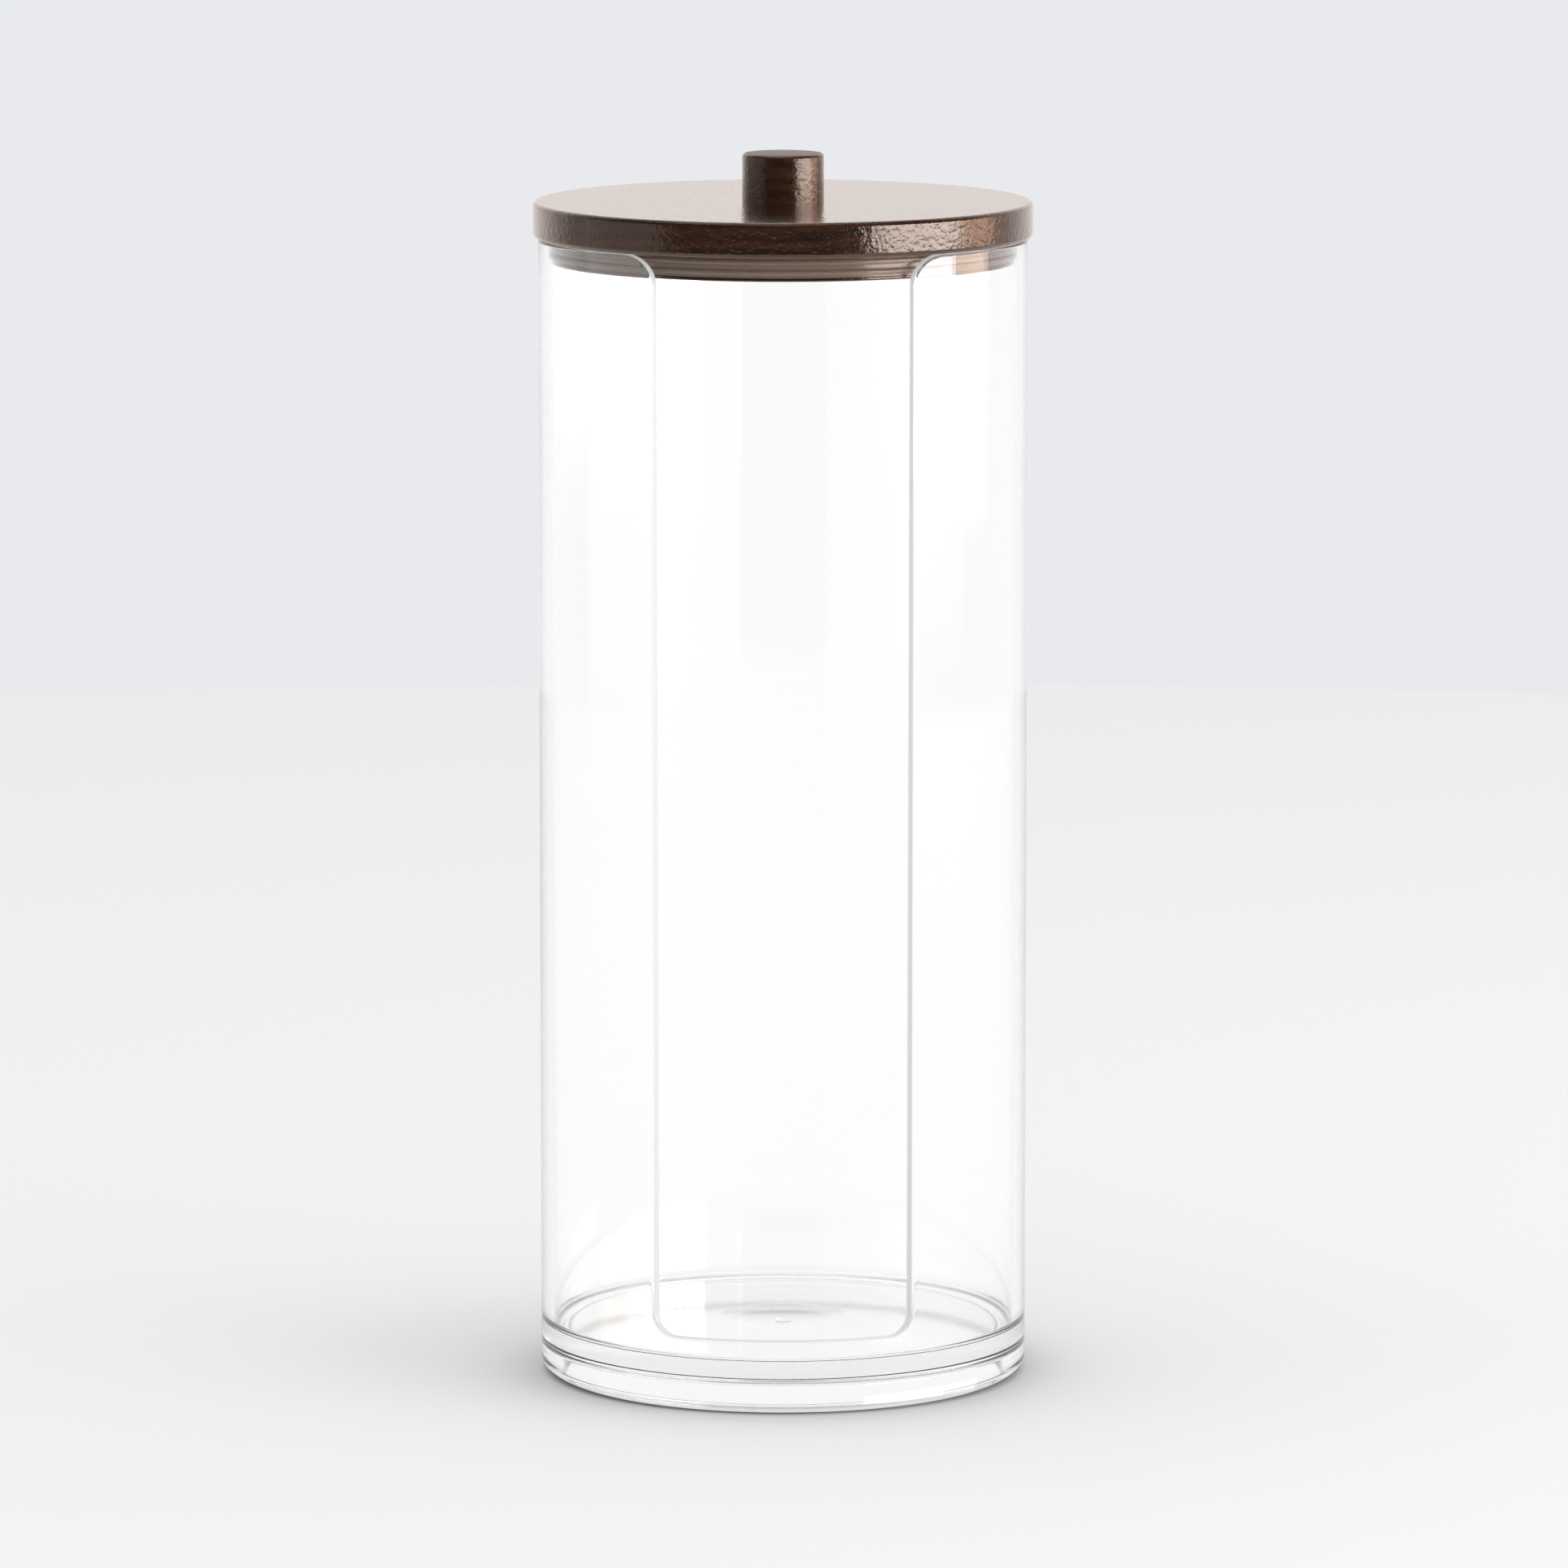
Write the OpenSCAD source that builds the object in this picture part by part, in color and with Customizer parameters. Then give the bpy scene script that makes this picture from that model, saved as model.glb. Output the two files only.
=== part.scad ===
// Cotton pad canister: a clear moulded tube with a front slot, closed by a turned wood lid.
// Millimetres. The origin is the centre of the foot on the table, +Z is up, the slot faces -Y.

/* [Canister] */
// Outer diameter of the canister
body_d = 72; // [64:0.5:90]
// Height of the canister's rim above the table
body_h = 169; // [120:1:220]
// Wall thickness in the mouth, where the lid seats
mouth_wall = 1.4; // [1.2:0.1:2.2]
// Wall thickness just above the floor, thicker than the mouth by the draft of the core
floor_wall = 1.9; // [1.5:0.1:3]
// Depth of the straight mouth above the drafted bore
mouth_depth = 6; // [5:0.5:10]
// Thickness of the floor
floor_t = 2.8; // [2:0.1:5]
// Height of the hollow under the floor
foot_h = 4.8; // [4.5:0.1:10]
// Thickness of the foot ring that carries the floor
foot_wall = 3.4; // [1.6:0.1:4.5]
// Rounding between the inside wall and the floor, and in the hollow under the floor
floor_fillet = 1.2; // [0.5:0.1:2.5]
// Rounding of the foot's outer edge
foot_edge = 2.4; // [0.3:0.1:3]
// Rounding of the foot's inner edge
foot_inner_edge = 0.4; // [0.2:0.1:0.6]
// Rounding of both edges of the rim
rim_edge = 0.55; // [0.2:0.05:0.55]
// Diameter of the shallow dish opposite the moulding gate
gate_dish_d = 20; // [10:1:30]
// Depth of that dish
gate_dish_depth = 0.2; // [0.1:0.05:1]
// Diameter of the gate's stub under the floor
gate_stub_d = 2.4; // [1.5:0.1:4]
// Height of the gate's stub
gate_stub_h = 0.4; // [0.3:0.1:1.5]

/* [Front slot] */
// Width of the slot
slot_w = 37.5; // [25:0.5:46]
// Height of the slot's sill above the floor
sill_h = 3.4; // [2:0.1:12]
// Radius of the slot's lower corners
sill_corner_r = 3; // [1:0.5:8]
// Radius by which the slot's upper corners flare out into the rim
flare_r = 4.5; // [1:0.5:8]

/* [Lid] */
// How far the lid stands out past the canister's wall
lid_overhang = 0.75; // [0:0.25:4]
// Thickness of the lid's disc
lid_t = 5.2; // [4:0.1:10]
// Depth of the plug under the disc
plug_h = 3.5; // [3:0.1:4.5]
// Thickness of the lip that keeps the seal ring on the plug
plug_lip_h = 0.5; // [0.4:0.1:0.8]
// Clearance between the plug's lip and the mouth
plug_gap = 0.6; // [0.4:0.05:0.8]
// Rounding of the disc's edges
lid_edge = 0.7; // [0.1:0.05:1]

/* [Seal ring] */
// Radial thickness of the ring's band
seal_band_t = 0.9; // [0.6:0.1:1.5]
// How far each rib stands out from the band
seal_rib_r = 0.45; // [0.3:0.05:0.55]
// Clearance between the ribs and the mouth
seal_gap = 0.15; // [0.1:0.05:0.3]
// Clearance between the ring and the plug's groove
seal_seat_gap = 0.03; // [0.01:0.01:0.1]

/* [Knob] */
// Diameter of the knob
knob_d = 12; // [9:0.5:24]
// Height of the knob
knob_h = 7; // [6.5:0.5:20]
// Rounding of the knob's top edge
knob_edge = 0.5; // [0.1:0.05:1]

/* [Screw] */
// Diameter of the screw's shank
screw_d = 3; // [2.5:0.1:4]
// Diameter of the countersunk head
screw_head_d = 6; // [5:0.1:8]
// Length of the screw inside the knob
screw_bite = 5; // [4:0.5:5.5]
// Clearance round the shank in the lid
screw_hole_gap = 0.2; // [0.1:0.05:0.4]
// Clearance round the shank in the knob's pilot hole
pilot_gap = 0.03; // [0.01:0.01:0.08]

/* [Hidden] */

$fn = 128;
slot_fn = 48;
overlap = 1;

body_r = body_d / 2;
floor_top = foot_h + floor_t;
mouth_r = body_r - mouth_wall;
bore_floor_r = body_r - floor_wall;
foot_hollow_r = body_r - foot_wall;
sill_z = floor_top + sill_h;

// The foot's outer rounding leaves this much flat on the ring, however thin the ring is
foot_flat = 0.5;
foot_round = min(foot_edge, foot_wall - foot_inner_edge - foot_flat);

// Distances from the tube's axis to the front: the slot's outer edges, the slide's tip and its end
slot_depth = sqrt(pow(body_r, 2) - pow(slot_w / 2, 2));
slide_tip = body_r / 4;
slide_end = body_r + overlap;

lid_r = body_r + lid_overhang;
lid_top = body_h + lid_t;
plug_bottom = body_h - plug_h;
plug_lip_r = mouth_r - plug_gap;
seal_outer_r = mouth_r - seal_gap - seal_rib_r;
seal_inner_r = seal_outer_r - seal_band_t;
seal_h = plug_h - plug_lip_h;
groove_r = seal_inner_r - seal_seat_gap;

screw_r = screw_d / 2;
screw_head_r = screw_head_d / 2;
screw_head_h = screw_head_r - screw_r;
screw_head_land = 0.25;
screw_tip_h = screw_r;
screw_tip_r = screw_r / 4;
screw_top = lid_top + screw_bite;
screw_hole_r = screw_r + screw_hole_gap;
countersink_gap = 0.1;
pilot_r = screw_r + pilot_gap;
pilot_relief = 0.4;
recess_w = screw_r / 2;
recess_span = screw_d * 1.1;
recess_depth = screw_head_h * 0.9;

clear_plastic = [0.93, 0.95, 0.95, 0.35];
dark_wood = [0.29, 0.18, 0.12];
knob_wood = [0.27, 0.16, 0.10];
clear_silicone = [0.80, 0.79, 0.76, 0.7];
screw_steel = [0.70, 0.70, 0.72];

// The waste outside a rounded corner: its tip is at the origin and its two sides run along +X and +Y.
module corner_waste(r)
    difference() {
        translate([-overlap, -overlap]) square(r + overlap);
        translate([r, r]) circle(r);
    }

// A convex corner's waste, turned so that the material lies towards sx and sy.
module waste_at(x, y, sx, sy, r)
    translate([x, y]) scale([sx, sy]) corner_waste(r);

// The inside of the canister, from the floor up: filleted foot, drafted bore, straight mouth.
module bore_profile() {
    polygon([
        [0, floor_top],
        [bore_floor_r - floor_fillet, floor_top],
        [bore_floor_r, floor_top + floor_fillet],
        [mouth_r, body_h - mouth_depth],
        [mouth_r, body_h + overlap],
        [0, body_h + overlap]
    ]);
    translate([bore_floor_r - floor_fillet, floor_top + floor_fillet]) circle(floor_fillet);
}

// The hollow under the floor, filleted where it meets the floor.
module foot_hollow_profile() {
    polygon([
        [0, -overlap],
        [foot_hollow_r, -overlap],
        [foot_hollow_r, foot_h - floor_fillet],
        [foot_hollow_r - floor_fillet, foot_h],
        [0, foot_h]
    ]);
    translate([foot_hollow_r - floor_fillet, foot_h - floor_fillet]) circle(floor_fillet);
}

// Half of the canister's section, before the slot is cut.
module canister_profile()
    difference() {
        square([body_r, body_h]);
        bore_profile();
        foot_hollow_profile();
        waste_at(body_r, 0, -1, 1, foot_round);
        waste_at(foot_hollow_r, 0, 1, 1, foot_inner_edge);
        waste_at(body_r, body_h, -1, -1, rim_edge);
        waste_at(mouth_r, body_h, 1, -1, rim_edge);
    }

// The slot as it shows on the front of the tube: rounded at the sill, flared at the rim.
module slot_outline() {
    difference() {
        translate([-slot_w / 2, sill_z]) square([slot_w, body_h - sill_z + overlap]);
        for (side = [-1, 1]) waste_at(side * slot_w / 2, sill_z, -side, 1, sill_corner_r);
    }
    for (side = [-1, 1]) waste_at(side * slot_w / 2, body_h, side, -1, flare_r);
}

// The slide of the mould that leaves the slot. It draws straight out to the front, and widens on the way
// as the tube's radii do, so that the slot's faces stand square to the wall.
module slot_cutter()
    rotate([90, 0, 0])
        translate([0, 0, slide_tip])
            linear_extrude(slide_end - slide_tip, scale = [slide_end / slide_tip, 1], slices = 1)
                scale([slide_tip / slot_depth, 1]) slot_outline($fn = slot_fn);

// A shallow spherical dish in the floor: the lowest cap of a large sphere.
module gate_dish() {
    dish_r = (pow(gate_dish_d / 2, 2) + pow(gate_dish_depth, 2)) / (2 * gate_dish_depth);
    intersection() {
        translate([0, 0, floor_top - gate_dish_depth + dish_r]) sphere(dish_r);
        translate([0, 0, foot_h]) cylinder(d = gate_dish_d + overlap, h = floor_t + overlap);
    }
}

module canister_body()
    color(clear_plastic) {
        difference() {
            rotate_extrude() canister_profile();
            slot_cutter();
            gate_dish();
        }
        translate([0, 0, foot_h - gate_stub_h]) cylinder(d = gate_stub_d, h = gate_stub_h);
    }

// Half of the lid's section: the disc, the groove for the seal ring and the lip below it.
module lid_profile()
    difference() {
        union() {
            translate([0, body_h]) square([lid_r, lid_t]);
            translate([0, plug_bottom]) square([groove_r, plug_h]);
            translate([0, plug_bottom]) square([plug_lip_r, plug_lip_h]);
        }
        waste_at(lid_r, lid_top, -1, -1, lid_edge);
        waste_at(lid_r, body_h, -1, 1, lid_edge);
    }

module lid_disc()
    color(dark_wood) difference() {
        rotate_extrude() lid_profile();
        translate([0, 0, plug_bottom - overlap]) cylinder(r = screw_hole_r, h = plug_h + lid_t + 2 * overlap);
        translate([0, 0, plug_bottom - overlap])
            cylinder(r = screw_head_r + countersink_gap, h = overlap + screw_head_land);
        translate([0, 0, plug_bottom + screw_head_land])
            cylinder(r1 = screw_head_r + countersink_gap, r2 = screw_r + countersink_gap, h = screw_head_h);
    }

// The ring's section: a flat band with two half-round ribs on its outside.
module seal_profile() {
    translate([seal_inner_r, plug_bottom + plug_lip_h]) square([seal_band_t, seal_h]);
    for (share = [0.25, 0.75])
        translate([seal_outer_r, plug_bottom + plug_lip_h + seal_h * share]) circle(seal_rib_r);
}

module seal_ring()
    color(clear_silicone) rotate_extrude() seal_profile();

// The knob's half section, with its blind pilot hole.
module knob_profile()
    difference() {
        translate([0, lid_top]) square([knob_d / 2, knob_h]);
        waste_at(knob_d / 2, lid_top + knob_h, -1, -1, knob_edge);
        translate([-overlap, lid_top - overlap]) square([pilot_r + overlap, screw_bite + pilot_relief + overlap]);
    }

module knob()
    color(knob_wood) rotate_extrude() knob_profile();

// The screw's half section, head down: land, countersunk cone, shank and blunt point.
module screw_profile()
    polygon([
        [0, plug_bottom],
        [screw_head_r, plug_bottom],
        [screw_head_r, plug_bottom + screw_head_land],
        [screw_r, plug_bottom + screw_head_land + screw_head_h],
        [screw_r, screw_top - screw_tip_h],
        [screw_tip_r, screw_top],
        [0, screw_top]
    ]);

module knob_screw()
    color(screw_steel) difference() {
        rotate_extrude() screw_profile();
        for (turn = [0, 90])
            translate([0, 0, plug_bottom]) rotate(turn)
                cube([recess_span, recess_w, 2 * recess_depth], center = true);
    }

canister_body();
lid_disc();
seal_ring();
knob();
knob_screw();
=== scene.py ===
import math

import bpy
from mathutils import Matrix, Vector


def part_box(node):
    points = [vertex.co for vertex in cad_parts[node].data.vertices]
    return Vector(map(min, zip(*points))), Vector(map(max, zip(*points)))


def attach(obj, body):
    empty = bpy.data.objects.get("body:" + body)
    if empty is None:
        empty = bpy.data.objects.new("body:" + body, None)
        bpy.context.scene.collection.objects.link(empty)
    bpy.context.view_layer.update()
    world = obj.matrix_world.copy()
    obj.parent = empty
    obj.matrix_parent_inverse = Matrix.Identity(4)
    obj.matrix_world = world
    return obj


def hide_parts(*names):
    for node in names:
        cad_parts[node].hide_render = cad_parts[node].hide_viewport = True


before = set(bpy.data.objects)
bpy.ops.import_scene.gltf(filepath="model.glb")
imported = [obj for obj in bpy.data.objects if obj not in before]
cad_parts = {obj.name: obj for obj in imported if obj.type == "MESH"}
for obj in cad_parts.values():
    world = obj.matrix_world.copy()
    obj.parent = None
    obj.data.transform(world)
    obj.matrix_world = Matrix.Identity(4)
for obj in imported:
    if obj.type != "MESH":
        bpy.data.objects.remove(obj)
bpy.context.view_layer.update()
MM = 0.001


# The canister is one clear injection moulding: a round tube on a foot ring, with a raised floor and a slot
# down its front. Its wall is laid out flat here, notched and rounded, and then rolled round the axis,
# so that the slot's faces stand square to the wall. The foot and the floor are a turned profile below it.
_, body_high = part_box("canister_body")
BODY_R = body_high.x
RIM_Z = body_high.z
MOUTH_WALL = 1.4 * MM
FLOOR_WALL = 1.9 * MM
MOUTH_DEPTH = 6 * MM
FOOT_WALL = 3.4 * MM
FLOOR_UNDER = 4.8 * MM
FLOOR_TOP = 7.6 * MM
FLOOR_FILLET = 1.2 * MM
FOOT_EDGE = 2.4 * MM
FOOT_INNER_EDGE = 0.4 * MM
EDGE_ROUND = 0.55 * MM
SLOT_W = 37.5 * MM
SILL_H = 3.4 * MM
SILL_Z = FLOOR_TOP + SILL_H
SILL_CORNER = 3 * MM
FLARE = 4.5 * MM
DISH_R = 10 * MM
DISH_DEPTH = 0.1 * MM
STUB_R = 1.2 * MM
STUB_H = 0.4 * MM
COLUMNS = 240
SAME_POINT = 0.002 * MM
SHARPEST = math.radians(35)
WALL_LOW = FLOOR_TOP + FLOOR_FILLET
MOUTH_LOW = RIM_Z - MOUTH_DEPTH
HALF_ROUND = math.pi * BODY_R


def start_piece(name, points, edges=(), faces=()):
    """A new object in edit mode, with nothing but these points, edges and faces, all selected."""
    bpy.ops.object.select_all(action="DESELECT")
    mesh = bpy.data.meshes.new(name)
    mesh.from_pydata(points, edges, faces)
    piece = bpy.data.objects.new(name, mesh)
    bpy.context.scene.collection.objects.link(piece)
    bpy.context.view_layer.objects.active = piece
    piece.select_set(True)
    bpy.ops.object.mode_set(mode="EDIT")
    bpy.ops.mesh.select_all(action="SELECT")
    return piece


def arc(centre_r, centre_z, radius, start, end, steps=6):
    """Points along an arc of a half section, from the start angle to the end angle in degrees."""
    turns = [math.radians(start + (end - start) * i / steps) for i in range(steps + 1)]
    return [(centre_r + radius * math.cos(t), centre_z + radius * math.sin(t)) for t in turns]


def merge_and_face_out():
    """Merges what meets and turns all faces outwards, in edit mode."""
    bpy.ops.mesh.select_all(action="SELECT")
    bpy.ops.mesh.remove_doubles(threshold=SAME_POINT)
    bpy.ops.mesh.delete_loose()
    bpy.ops.mesh.select_all(action="SELECT")
    bpy.ops.mesh.normals_make_consistent(inside=False)


def turned(name, section, closed):
    """A turned piece: its half section, a list of (radius, height), spun round the axis."""
    edges = [(i, i + 1) for i in range(len(section) - 1)]
    if closed:
        edges.append((len(section) - 1, 0))
    piece = start_piece(name, [(0, -r, z) for r, z in section], edges)
    bpy.ops.mesh.spin(steps=COLUMNS, angle=math.tau, center=(0, 0, 0), axis=(0, 0, 1))
    merge_and_face_out()
    bpy.ops.object.mode_set(mode="OBJECT")
    return piece


def smooth_faces(piece):
    """Smooth shading in which the large faces stay true and only the roundings between them bend."""
    bpy.ops.object.select_all(action="DESELECT")
    bpy.context.view_layer.objects.active = piece
    piece.select_set(True)
    bpy.ops.object.shade_smooth_by_angle(angle=SHARPEST)
    true_faces = piece.modifiers.new("true_faces", "WEIGHTED_NORMAL")
    true_faces.keep_sharp = True
    bpy.ops.object.modifier_apply(modifier=true_faces.name)


def select_parts(piece, kind, wanted):
    """In edit mode, selects the edges or faces for which wanted(their points) is true."""
    bpy.ops.object.mode_set(mode="OBJECT")
    mesh = piece.data
    for part in (mesh.vertices, mesh.edges, mesh.polygons):
        part.foreach_set("select", [False] * len(part))
    for item in mesh.edges if kind == "EDGE" else mesh.polygons:
        item.select = wanted([mesh.vertices[i].co for i in item.vertices])
    bpy.ops.object.mode_set(mode="EDIT")
    bpy.ops.mesh.select_mode(type=kind)


def all_at(points, axis, place):
    return all(abs(abs(p[axis]) - place) < SAME_POINT for p in points)


def along_wall(x):
    """How far round the outside of the wall a point lies that is x to the right of the axis."""
    return BODY_R * math.asin(x / BODY_R)


def bore_r(z):
    """The radius of the inside: straight in the mouth, and drafted below it."""
    drafted = min(1, max(0, (MOUTH_LOW - z) / (MOUTH_LOW - WALL_LOW)))
    return BODY_R - MOUTH_WALL - (FLOOR_WALL - MOUTH_WALL) * drafted


def rolled(co):
    """Where a point of the flat wall comes to lie: x runs round the tube and y in through the wall."""
    radius = BODY_R - (BODY_R - bore_r(co.z)) * co.y / MOUTH_WALL
    turn = co.x / BODY_R
    return Vector((radius * math.sin(turn), -radius * math.cos(turn), co.z))


# The flat wall's outline, with the notch of the slot: flared at the rim and rounded at the sill
half_notch = [
    *arc(SLOT_W / 2 + FLARE, RIM_Z - FLARE, FLARE, 90, 180, 12),
    *arc(SLOT_W / 2 - SILL_CORNER, SILL_Z + SILL_CORNER, SILL_CORNER, 0, -90, 10),
]
half_notch = [(along_wall(x), z) for x, z in half_notch]
outline = [
    (-HALF_ROUND, WALL_LOW),
    (HALF_ROUND, WALL_LOW),
    (HALF_ROUND, RIM_Z),
    *half_notch,
    *[(-x, z) for x, z in reversed(half_notch)],
    (-HALF_ROUND, RIM_Z),
]
canister = start_piece("clear_canister", [(x, 0, z) for x, z in outline], faces=[range(len(outline))])
bpy.ops.mesh.extrude_region_move(TRANSFORM_OT_translate={"value": (0, MOUTH_WALL, 0)})
merge_and_face_out()

# Both edges of the rim and of the slot are rounded
select_parts(
    canister,
    "EDGE",
    lambda ends: (all_at(ends, 1, 0) or all_at(ends, 1, MOUTH_WALL))
    and not all_at(ends, 0, HALF_ROUND)
    and not all_at(ends, 2, WALL_LOW),
)
bpy.ops.mesh.bevel(offset=EDGE_ROUND, segments=4)

# Upright cuts let the wall roll up smoothly, and a level one marks the foot of the straight mouth
for i in range(1, COLUMNS):
    bpy.ops.mesh.select_all(action="SELECT")
    bpy.ops.mesh.bisect(plane_co=(HALF_ROUND * (2 * i / COLUMNS - 1), 0, 0), plane_no=(1, 0, 0))
bpy.ops.mesh.select_all(action="SELECT")
bpy.ops.mesh.bisect(plane_co=(0, 0, MOUTH_LOW), plane_no=(0, 0, 1))

# The faces at its ends and underneath go, because the wall closes on itself and on the foot
select_parts(
    canister,
    "FACE",
    lambda corners: all_at(corners, 0, HALF_ROUND) or all_at(corners, 2, WALL_LOW),
)
bpy.ops.mesh.delete(type="FACE")
bpy.ops.object.mode_set(mode="OBJECT")
for vertex in canister.data.vertices:
    vertex.co = rolled(vertex.co)

# The floor with its gate dish and gate stub, and the foot ring
bore_floor_r = BODY_R - FLOOR_WALL
foot_hollow_r = BODY_R - FOOT_WALL
dish_ball = (DISH_R**2 + DISH_DEPTH**2) / (2 * DISH_DEPTH)
dish_angle = math.degrees(math.asin(DISH_R / dish_ball))
foot = turned(
    "foot",
    [
        *arc(bore_floor_r - FLOOR_FILLET, WALL_LOW, FLOOR_FILLET, 0, -90, 8),
        *arc(0, FLOOR_TOP - DISH_DEPTH + dish_ball, dish_ball, -90 + dish_angle, -90, 8),
        (0, FLOOR_UNDER - STUB_H),
        (STUB_R, FLOOR_UNDER - STUB_H),
        (STUB_R, FLOOR_UNDER),
        *arc(foot_hollow_r - FLOOR_FILLET, FLOOR_UNDER - FLOOR_FILLET, FLOOR_FILLET, 90, 0, 8),
        *arc(foot_hollow_r + FOOT_INNER_EDGE, FOOT_INNER_EDGE, FOOT_INNER_EDGE, 180, 270, 4),
        *arc(BODY_R - FOOT_EDGE, FOOT_EDGE, FOOT_EDGE, -90, 0, 12),
        (BODY_R, WALL_LOW),
    ],
    closed=False,
)
canister.select_set(True)
bpy.context.view_layer.objects.active = canister
bpy.ops.object.join()
bpy.ops.object.mode_set(mode="EDIT")
merge_and_face_out()
bpy.ops.object.mode_set(mode="OBJECT")
smooth_faces(canister)


def empty_nodes(owner):
    """Clears the node tree of a material or world, and returns a function that adds nodes to it."""
    owner.use_nodes = True
    tree = owner.node_tree
    tree.nodes.clear()

    def add(kind, **sockets):
        node = tree.nodes.new(kind)
        for socket, value in sockets.items():
            target = node.inputs[socket.replace("_", " ")]
            if isinstance(value, bpy.types.NodeSocket):
                tree.links.new(value, target)
            else:
                target.default_value = value
        return node

    return add


def node_material(name):
    """A new material with an empty node tree, and the function that adds its nodes."""
    material = bpy.data.materials.new(name)
    return material, empty_nodes(material)


def link(start, end):
    """Joins an output to a socket that is picked by number, because it shares its name with another."""
    start.id_data.links.new(start, end)


# The share of lamplight that passes each face: the thin wall's, and that of the thick foot, which scatters it
WALL_LETS_BY = 0.92
FOOT_LETS_BY = 0.25
# How fast the plastic greys what is seen a long way through it
GREYING = 15
# A face that leans less than this towards or away from the axis belongs to a cut edge
SQUARE_TO_WALL = 0.6


def clear_plastic():
    """Clear moulded polystyrene with a trace of haze. A long way through it turns light grey."""
    material, add = node_material("clear_plastic")
    place = add("ShaderNodeTexCoord")
    stretch = add("ShaderNodeMapping", Vector=place.outputs["Object"], Scale=(1, 1, 0.25))
    wave = add("ShaderNodeTexNoise", Vector=stretch.outputs["Vector"], Scale=55.0, Detail=1.0)
    bump = add("ShaderNodeBump", Height=wave.outputs["Fac"], Strength=0.05, Distance=0.0002)
    plastic = add(
        "ShaderNodeBsdfPrincipled",
        Base_Color=(0.998, 1.0, 1.0, 1),
        Roughness=0.05,
        IOR=1.49,
        Specular_IOR_Level=0.25,
        Transmission_Weight=0.99,
        Normal=bump.outputs["Normal"],
    )
    height = add("ShaderNodeSeparateXYZ", Vector=place.outputs["Object"])
    lets_by = add(
        "ShaderNodeMapRange",
        Value=height.outputs["Z"],
        From_Min=FLOOR_TOP,
        From_Max=SILL_Z,
        To_Min=FOOT_LETS_BY,
        To_Max=WALL_LETS_BY,
    )
    open_air = add("ShaderNodeBsdfTransparent", Color=lets_by.outputs["Result"])
    path = add("ShaderNodeLightPath")
    from_light = add("ShaderNodeMath", Value=path.outputs["Is Shadow Ray"])
    from_light.operation = "MAXIMUM"
    link(path.outputs["Is Diffuse Ray"], from_light.inputs[1])
    surface = add("ShaderNodeMixShader", Fac=from_light.outputs["Value"])
    link(plastic.outputs["BSDF"], surface.inputs[1])
    link(open_air.outputs["BSDF"], surface.inputs[2])
    grey = add("ShaderNodeVolumeAbsorption", Color=(0.9, 0.902, 0.9, 1), Density=GREYING)
    add("ShaderNodeOutputMaterial", Surface=surface.outputs["Shader"], Volume=grey.outputs["Volume"])
    return material


def painted_glow_edge():
    """Pale cut edges of clear plastic with a painted glow, an emission for the light the wall gathers."""
    material, add = node_material("painted_glow_edge")
    edge = add(
        "ShaderNodeBsdfPrincipled",
        Base_Color=(0.3, 0.305, 0.3, 1),
        Roughness=0.3,
        IOR=1.49,
        # Painted glow: the edges give off light of their own, though they are no lamp
        Emission_Color=(1, 1, 1, 1),
        Emission_Strength=0.38,
    )
    add("ShaderNodeOutputMaterial", Surface=edge.outputs["BSDF"])
    return material


def on_cut_edge(face):
    """True for the faces of the slot and the rim, which stand square to the wall."""
    outward = Vector((face.center.x, face.center.y, 0)).normalized()
    return face.center.z > WALL_LOW and abs(face.normal.dot(outward)) < SQUARE_TO_WALL


canister.data.materials.append(clear_plastic())
# The slot's and rim's cut faces take the pale material with the painted glow
canister.data.materials.append(painted_glow_edge())
for face in canister.data.polygons:
    face.material_index = 1 if on_cut_edge(face) else 0
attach(canister, "canister")
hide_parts("canister_body")


# The lid is one turned disc of dark stained hardwood under lacquer. Its plug drops into the mouth, a groove
# round the plug holds the seal ring, and a countersunk hole takes the knob's screw from below.
lid_low, lid_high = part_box("lid_disc")
LID_R = lid_high.x
LID_TOP = lid_high.z
PLUG_BOTTOM = lid_low.z
LID_EDGE = 0.7 * MM
LIP_H = 0.5 * MM
LIP_GAP = 0.6 * MM
LIP_R = BODY_R - MOUTH_WALL - LIP_GAP
LIP_EDGE = 0.12 * MM
ring_low, ring_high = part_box("seal_ring")
RIB_R = 0.45 * MM
BAND_T = 0.9 * MM
BAND_OUTER_R = ring_high.x - RIB_R
GROOVE_FIT = 0.03 * MM
GROOVE_R = BAND_OUTER_R - BAND_T - GROOVE_FIT
SCREW_HOLE_R = 1.7 * MM
COUNTERSINK_R = 3.1 * MM
COUNTERSINK_LAND = 0.25 * MM
COUNTERSINK_H = 1.5 * MM

lid_section = [
    (SCREW_HOLE_R, LID_TOP),
    *arc(LID_R - LID_EDGE, LID_TOP - LID_EDGE, LID_EDGE, 90, 0, 5),
    *arc(LID_R - LID_EDGE, RIM_Z + LID_EDGE, LID_EDGE, 0, -90, 5),
    (GROOVE_R, RIM_Z),
    (GROOVE_R, PLUG_BOTTOM + LIP_H),
    *arc(LIP_R - LIP_EDGE, PLUG_BOTTOM + LIP_H - LIP_EDGE, LIP_EDGE, 90, 0, 3),
    *arc(LIP_R - LIP_EDGE, PLUG_BOTTOM + LIP_EDGE, LIP_EDGE, 0, -90, 3),
    (COUNTERSINK_R, PLUG_BOTTOM),
    (COUNTERSINK_R, PLUG_BOTTOM + COUNTERSINK_LAND),
    (SCREW_HOLE_R, PLUG_BOTTOM + COUNTERSINK_LAND + COUNTERSINK_H),
]
lid = turned("wood_lid", lid_section, closed=True)


# The share of the wood's figure that its year rings make. Fine streaks make the rest.
RING_SHARE = 0.25


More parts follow.
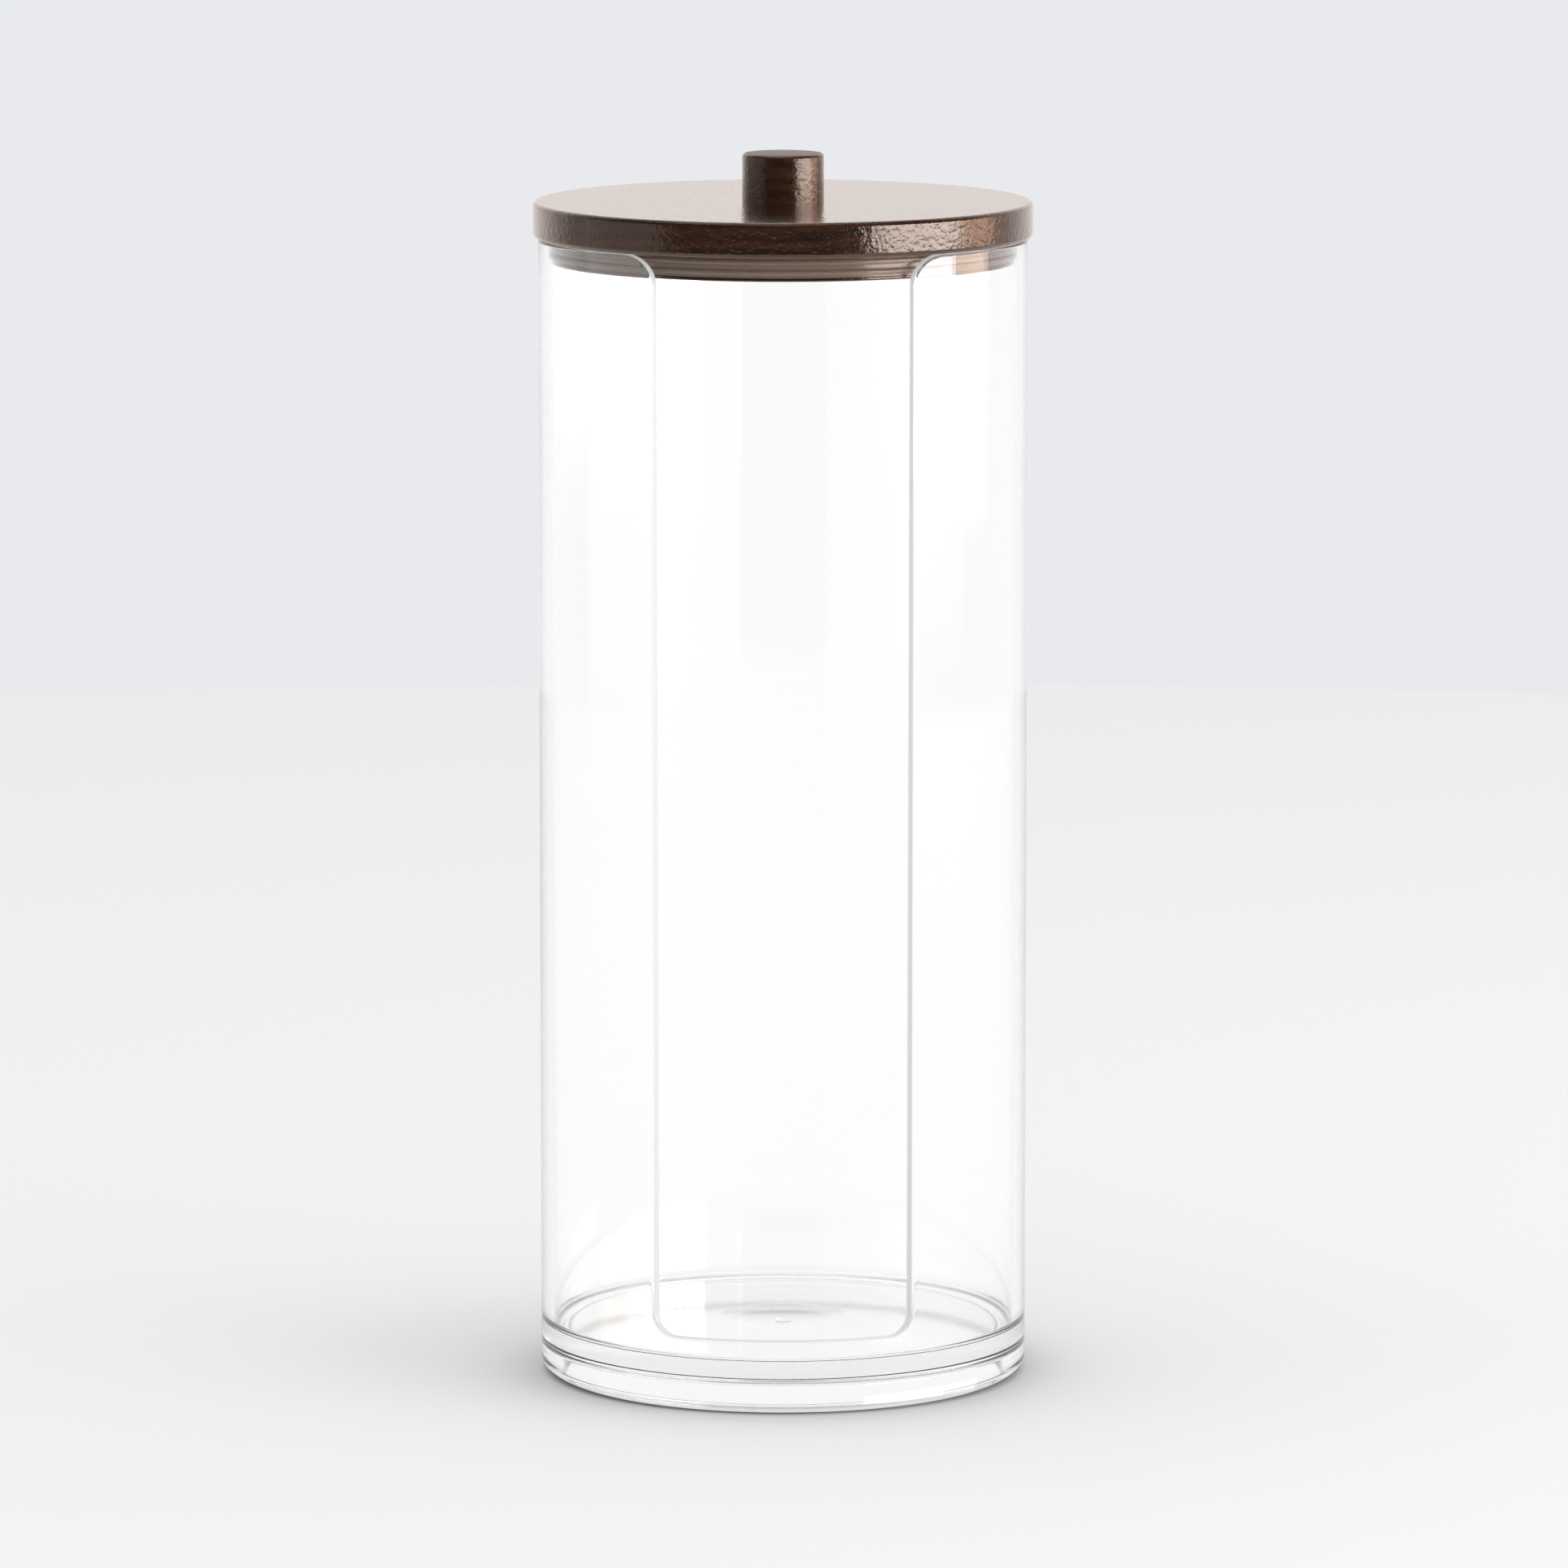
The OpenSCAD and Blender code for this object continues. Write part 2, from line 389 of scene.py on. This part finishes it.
def lacquered_wood(name, dark, light, sheen, roughness, lacquer, lacquer_roughness):
    """Dark stained wood under lacquer: rings, streaks and pores that run along x, and an uneven skin."""
    material, add = node_material(name)
    place = add("ShaderNodeTexCoord")
    board = add(
        "ShaderNodeMapping",
        Vector=place.outputs["Object"],
        Location=(0, 0.031, -0.09),
        Rotation=(0.02, 0.03, 0.05),
    )
    rings = add(
        "ShaderNodeTexWave",
        Vector=board.outputs["Vector"],
        Scale=150.0,
        Distortion=3.0,
        Detail=3.0,
        Detail_Scale=1.4,
    )
    rings.wave_type = "RINGS"
    rings.rings_direction = "X"
    along = add("ShaderNodeMapping", Vector=place.outputs["Object"], Scale=(0.05, 1, 1))
    drawn_out = along.outputs["Vector"]
    streaks = add("ShaderNodeTexNoise", Vector=drawn_out, Scale=700.0, Detail=5.0, Roughness=0.65)
    pores = add("ShaderNodeTexNoise", Vector=drawn_out, Scale=2600.0, Detail=4.0, Roughness=0.65)
    grain = add("ShaderNodeMath", Value=rings.outputs["Fac"])
    grain.operation = "MULTIPLY"
    grain.inputs[1].default_value = RING_SHARE
    figure = add("ShaderNodeMath", Value=streaks.outputs["Fac"])
    figure.operation = "MULTIPLY_ADD"
    figure.inputs[1].default_value = 1 - RING_SHARE
    link(grain.outputs["Value"], figure.inputs[2])
    tone = add("ShaderNodeValToRGB", Fac=figure.outputs["Value"])
    tone.color_ramp.elements[0].position = 0.3
    tone.color_ramp.elements[0].color = (*dark, 1)
    tone.color_ramp.elements[1].position = 0.7
    tone.color_ramp.elements[1].color = (*light, 1)
    pore_mask = add(
        "ShaderNodeMapRange", Value=pores.outputs["Fac"], From_Min=0.36, From_Max=0.5, To_Min=0.6
    )
    shade = add("ShaderNodeMix")
    shade.data_type = "RGBA"
    shade.blend_type = "MULTIPLY"
    shade.inputs[0].default_value = 1.0
    link(tone.outputs["Color"], shade.inputs[6])
    link(pore_mask.outputs["Result"], shade.inputs[7])
    skin = add("ShaderNodeTexNoise", Vector=place.outputs["Object"], Scale=1300.0, Detail=2.0)
    uneven = add("ShaderNodeBump", Height=skin.outputs["Fac"], Strength=0.4, Distance=0.0002)
    open_grain = add(
        "ShaderNodeBump",
        Height=pores.outputs["Fac"],
        Strength=0.25,
        Distance=0.0001,
        Normal=uneven.outputs["Normal"],
    )
    wood = add(
        "ShaderNodeBsdfPrincipled",
        Base_Color=shade.outputs[2],
        Roughness=roughness,
        IOR=1.55,
        Specular_Tint=(*sheen, 1),
        Coat_Weight=lacquer,
        Coat_Tint=(1.0, 0.80, 0.68, 1),
        Coat_Roughness=lacquer_roughness,
        Normal=open_grain.outputs["Normal"],
        Coat_Normal=uneven.outputs["Normal"],
    )
    add("ShaderNodeOutputMaterial", Surface=wood.outputs["BSDF"])
    return material


LID_DARK = (0.009, 0.0034, 0.0014)
LID_LIGHT = (0.036, 0.014, 0.0058)
LID_SHEEN = (1.0, 0.84, 0.68)
smooth_faces(lid)
lid.data.materials.append(lacquered_wood("lid_wood", LID_DARK, LID_LIGHT, LID_SHEEN, 0.16, 0.8, 0.12))
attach(lid, "lid")
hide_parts("lid_disc")


# The seal ring is a band of soft clear silicone, stretched over the plug's lip into the groove. Two rounded
# ribs run round its outside.
RING_BOTTOM = ring_low.z
RING_TOP = ring_high.z
ring_h = RING_TOP - RING_BOTTOM
ring_section = [
    (BAND_OUTER_R - BAND_T, RING_TOP),
    (BAND_OUTER_R, RING_TOP),
    *arc(BAND_OUTER_R, RING_BOTTOM + 0.75 * ring_h, RIB_R, 90, -90, 10),
    *arc(BAND_OUTER_R, RING_BOTTOM + 0.25 * ring_h, RIB_R, 90, -90, 10),
    (BAND_OUTER_R, RING_BOTTOM),
    (BAND_OUTER_R - BAND_T, RING_BOTTOM),
]
ring = turned("seal_band", ring_section, closed=True)
smooth_faces(ring)


def clear_silicone():
    """Soft translucent silicone with a satin skin, which lets the wood show through."""
    material, add = node_material("clear_silicone")
    place = add("ShaderNodeTexCoord")
    skin = add("ShaderNodeTexNoise", Vector=place.outputs["Object"], Scale=900.0, Detail=2.0)
    bump = add("ShaderNodeBump", Height=skin.outputs["Fac"], Strength=0.15, Distance=0.0001)
    silicone = add(
        "ShaderNodeBsdfPrincipled",
        Base_Color=(0.64, 0.50, 0.40, 1),
        Roughness=0.18,
        IOR=1.41,
        Transmission_Weight=0.82,
        Normal=bump.outputs["Normal"],
    )
    add("ShaderNodeOutputMaterial", Surface=silicone.outputs["BSDF"])
    return material


ring.data.materials.append(clear_silicone())
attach(ring, "lid")
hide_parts("seal_ring")


# The knob is a short turned cylinder of the same wood, with its grain lying as the lid's does. Its lacquer is
# a little softer than the lid's, and dullest on its end. A blind pilot hole takes the screw.
_, knob_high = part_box("knob")
KNOB_R = knob_high.x
KNOB_TOP = knob_high.z
KNOB_EDGE = 0.5 * MM
PILOT_R = 1.53 * MM
PILOT_DEPTH = 5.4 * MM
PILOT_TOP = LID_TOP + PILOT_DEPTH
knob_section = [
    (0, KNOB_TOP),
    *arc(KNOB_R - KNOB_EDGE, KNOB_TOP - KNOB_EDGE, KNOB_EDGE, 90, 0, 5),
    (KNOB_R, LID_TOP),
    (PILOT_R, LID_TOP),
    (PILOT_R, PILOT_TOP),
    (0, PILOT_TOP),
]
knob = turned("wood_knob", knob_section, closed=False)
smooth_faces(knob)
KNOB_DARK = (0.012, 0.0046, 0.0019)
KNOB_LIGHT = (0.044, 0.0172, 0.0072)
KNOB_SHEEN = (1.0, 0.72, 0.54)
FACES_UP = 0.9
knob.data.materials.append(lacquered_wood("knob_wood", KNOB_DARK, KNOB_LIGHT, KNOB_SHEEN, 0.3, 0.65, 0.15))
knob.data.materials.append(lacquered_wood("knob_end", KNOB_DARK, KNOB_LIGHT, KNOB_SHEEN, 0.42, 0.2, 0.3))
for face in knob.data.polygons:
    face.material_index = 1 if face.normal.z > FACES_UP else 0
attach(knob, "lid")
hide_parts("knob")


# The screw is a countersunk steel screw with a cross recess. It comes up through the plug and the disc
# into the knob, and only its head shows, from below.
screw_low, screw_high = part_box("knob_screw")
HEAD_R = screw_high.x
SHANK_R = 1.5 * MM
HEAD_LAND = 0.25 * MM
TIP_R = SHANK_R / 4
RECESS_SPAN = 3.3 * MM
RECESS_W = 0.75 * MM
RECESS_DEPTH = 1.3 * MM
RECESS_NARROWS_TO = 0.55
screw_section = [
    (0, screw_low.z),
    (HEAD_R, screw_low.z),
    (HEAD_R, screw_low.z + HEAD_LAND),
    (SHANK_R, screw_low.z + HEAD_LAND + HEAD_R - SHANK_R),
    (SHANK_R, screw_high.z - SHANK_R),
    (TIP_R, screw_high.z),
    (0, screw_high.z),
]
screw = turned("lid_screw", screw_section, closed=False)


def cross_recess(turn):
    """One bar of the driver's cross in the head, narrowing upwards, cut with a boolean."""
    bpy.ops.object.select_all(action="DESELECT")
    bpy.ops.mesh.primitive_cube_add(size=1, location=(0, 0, screw_low.z), rotation=(0, 0, turn))
    bar = bpy.context.object
    bar.scale = (RECESS_SPAN, RECESS_W, 2 * RECESS_DEPTH)
    bpy.ops.object.transform_apply()
    for vertex in bar.data.vertices:
        if vertex.co.z > screw_low.z:
            vertex.co.xy = vertex.co.xy * RECESS_NARROWS_TO
    cut = screw.modifiers.new("cross", "BOOLEAN")
    cut.object = bar
    cut.operation = "DIFFERENCE"
    bpy.context.view_layer.objects.active = screw
    bpy.ops.object.modifier_apply(modifier=cut.name)
    bpy.data.objects.remove(bar)


cross_recess(0)
cross_recess(math.pi / 2)
smooth_faces(screw)


def zinc_steel():
    """Zinc plated steel: bright, and a little cloudy."""
    material, add = node_material("screw_steel")
    place = add("ShaderNodeTexCoord")
    cloud = add("ShaderNodeTexNoise", Vector=place.outputs["Object"], Scale=1500.0, Detail=3.0)
    rough = add("ShaderNodeMapRange", Value=cloud.outputs["Fac"], To_Min=0.22, To_Max=0.4)
    steel = add(
        "ShaderNodeBsdfPrincipled",
        Base_Color=(0.62, 0.62, 0.63, 1),
        Metallic=1.0,
        Roughness=rough.outputs["Result"],
    )
    add("ShaderNodeOutputMaterial", Surface=steel.outputs["BSDF"])
    return material


screw.data.materials.append(zinc_steel())
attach(screw, "lid")
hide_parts("knob_screw")


# The stage is a plain round white table top in a pale room. In reflections the room is dark in front, where
# the camera stands, and bright behind.
TABLE_R = 0.75
TABLE_T = 0.02
TABLE_GAP = 0.03 * MM
TABLE_WHITER = 0.95
bpy.ops.object.select_all(action="DESELECT")
bpy.ops.mesh.primitive_cylinder_add(
    vertices=256, radius=TABLE_R, depth=TABLE_T, location=(0, 0, -TABLE_GAP - TABLE_T / 2)
)
table = bpy.context.object
table.name = "table_top"
bpy.ops.object.transform_apply()


def white_table():
    """Matt white, and seen whiter through the clear wall, to make up for what the wall takes."""
    material, add = node_material("white_table")
    matt = add("ShaderNodeBsdfDiffuse", Color=(0.86, 0.86, 0.86, 1))
    white = add("ShaderNodeEmission", Color=(1, 1, 1, 1), Strength=1.0)
    path = add("ShaderNodeLightPath")
    share = add("ShaderNodeMath", Value=path.outputs["Is Transmission Ray"])
    share.operation = "MULTIPLY"
    share.inputs[1].default_value = TABLE_WHITER
    surface = add("ShaderNodeMixShader", Fac=share.outputs["Value"])
    link(matt.outputs["BSDF"], surface.inputs[1])
    link(white.outputs["Emission"], surface.inputs[2])
    add("ShaderNodeOutputMaterial", Surface=surface.outputs["Shader"])
    return material


table.data.materials.append(white_table())


# How bright the room is as a lamp, the colour that the eye sees, and its front side's strength in a
# reflection and through the plastic, where it changes from front to back between these two depths
ROOM_LIGHT = 0.86
ROOM_SEEN = (0.815, 0.823, 0.855, 1)
ROOM_MIRRORED_FRONT = 0.1
ROOM_THROUGH_FRONT = 0.88
ROOM_DARK_TO = 0.1
ROOM_BRIGHT_FROM = 0.8


def pale_room():
    """The room: an even pale wall to the eye, near white through plastic, dim in front in reflections."""
    world = bpy.data.worlds.new("pale_room")
    bpy.context.scene.world = world
    add = empty_nodes(world)
    path = add("ShaderNodeLightPath")
    place = add("ShaderNodeTexCoord")
    split = add("ShaderNodeSeparateXYZ", Vector=place.outputs["Generated"])
    shown = add("ShaderNodeBackground", Color=(0.94, 0.94, 0.945, 1), Strength=ROOM_LIGHT)
    for ray, color, front in (
        ("Is Glossy Ray", (1, 1, 1, 1), ROOM_MIRRORED_FRONT),
        ("Is Transmission Ray", (1, 1, 1, 1), ROOM_THROUGH_FRONT),
        ("Is Camera Ray", ROOM_SEEN, 1.0),
    ):
        depth = add(
            "ShaderNodeMapRange",
            Value=split.outputs["Y"],
            From_Min=ROOM_DARK_TO,
            From_Max=ROOM_BRIGHT_FROM,
            To_Min=front,
            To_Max=1.0,
        )
        seen = add("ShaderNodeBackground", Color=color, Strength=depth.outputs["Result"])
        choice = add("ShaderNodeMixShader", Fac=path.outputs[ray])
        link(shown.outputs[0], choice.inputs[1])
        link(seen.outputs[0], choice.inputs[2])
        shown = choice
    add("ShaderNodeOutputWorld", Surface=shown.outputs[0])


pale_room()

# The point inside the canister that every lamp is turned to
LAMP_AIM = (0, 0, 0.1)


def window(name, place, width, height, watts, color):
    """A soft rectangular light at a place."""
    data = bpy.data.lights.new(name, "AREA")
    data.shape = "RECTANGLE"
    data.size = width
    data.size_y = height
    data.energy = watts
    data.color = color
    light = bpy.data.objects.new(name, data)
    light.location = place
    light.rotation_euler = (Vector(LAMP_AIM) - Vector(place)).to_track_quat("-Z", "Y").to_euler()
    bpy.context.scene.collection.objects.link(light)


window("right_window", (1.173, -0.560, 0.2), 1.13, 0.45, 12.6, (1, 1, 1))
window("warm_panel", (1.282, 0.215, 0.2), 0.53, 0.45, 2.4, (1, 0.74, 0.58))
window("left_panel", (-1.28, -0.226, 0.2), 1.2, 0.6, 1.0, (1, 1, 1))
window("top_panel", (-0.2, -0.2, 1.8), 1.6, 1.6, 6, (1, 1, 1))

# The camera stands where the photo's did, with a long lens, higher than the lid and looking down a little.
CAMERA_PLACE = (0.00014, -1.490, 0.3072)
CAMERA_PITCH = 8.38
CAMERA_LENS = 233.8
camera_data = bpy.data.cameras.new("camera")
camera_data.sensor_width = 36
camera_data.lens = CAMERA_LENS
camera = bpy.data.objects.new("camera", camera_data)
camera.location = CAMERA_PLACE
camera.rotation_euler = (math.radians(90 - CAMERA_PITCH), 0, 0)
bpy.context.scene.collection.objects.link(camera)
bpy.context.scene.camera = camera
bpy.context.scene.view_settings.view_transform = "Standard"
